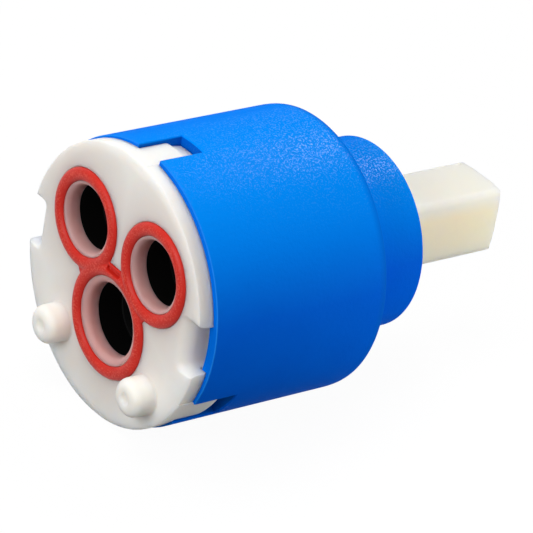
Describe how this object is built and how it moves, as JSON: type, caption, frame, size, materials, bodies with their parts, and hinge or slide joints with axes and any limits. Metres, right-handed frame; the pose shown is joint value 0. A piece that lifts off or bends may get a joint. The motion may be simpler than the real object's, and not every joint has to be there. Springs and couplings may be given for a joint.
{
  "type": "faucet cartridge",
  "caption": "Single-lever mixer cartridge with a flat ported base, a blue barrel with a clamping shoulder and neck, and a square lever that tilts and turns.",
  "frame": {"origin": "on the cartridge's axis, in the base's sealing face", "axes": "+X along the axis from the sealing face to the lever, +Z across the axis, up, from the outlet to the side of the two inlets, +Y from one inlet to the other"},
  "size_m": [0.0674, 0.04, 0.04],
  "materials": {
    "housing_blue": "satin moulded acetal with a fine grain",
    "base_white": "warm white moulded acetal, slightly translucent",
    "seal_red": "soft silicone, satin",
    "seal_black": "black rubber, satin",
    "ceramic_disc": "dark ceramic, ground and lapped",
    "carrier_grey": "dark grey moulded plastic",
    "slip_plastic": "white low-friction plastic",
    "rotor_white": "white moulded acetal",
    "pin_steel": "ground stainless steel",
    "lever_cream": "cream moulded nylon, satin"
  },
  "bodies": {
    "cartridge_body": {"housing": "housing_blue", "base": "base_white", "base_seal": "seal_red", "inner_seal": "seal_black", "fixed_disc": "ceramic_disc", "thrust_washer": "slip_plastic"},
    "rotor_unit": {"rotor": "rotor_white", "pivot_pin": "pin_steel", "rotor_oring": "seal_black"},
    "disc_unit": {"moving_disc": "ceramic_disc", "disc_carrier": "carrier_grey", "carrier_seal": "seal_black", "glide_ring": "slip_plastic"},
    "lever": {"lever": "lever_cream"}
  },
  "joints": [
    {"name": "rotor_turn", "type": "hinge", "parent": "cartridge_body", "child": "rotor_unit", "pos_m": [0.031, 0, 0], "axis": [1, 0, 0], "range_deg": [-50, 50]},
    {"name": "lever_tilt", "type": "hinge", "parent": "rotor_unit", "child": "lever", "pos_m": [0.031, 0, 0], "axis": [0, 1, 0], "range_deg": [-12, 12]},
    {"name": "disc_slide", "type": "slide", "parent": "rotor_unit", "child": "disc_unit", "axis": [0, 0, 1], "range_m": [-0.0026, 0.0026]}
  ],
  "couplings": [
    {"joint": "disc_slide", "follows": "lever_tilt", "m_per_rad": 0.01205}
  ]
}
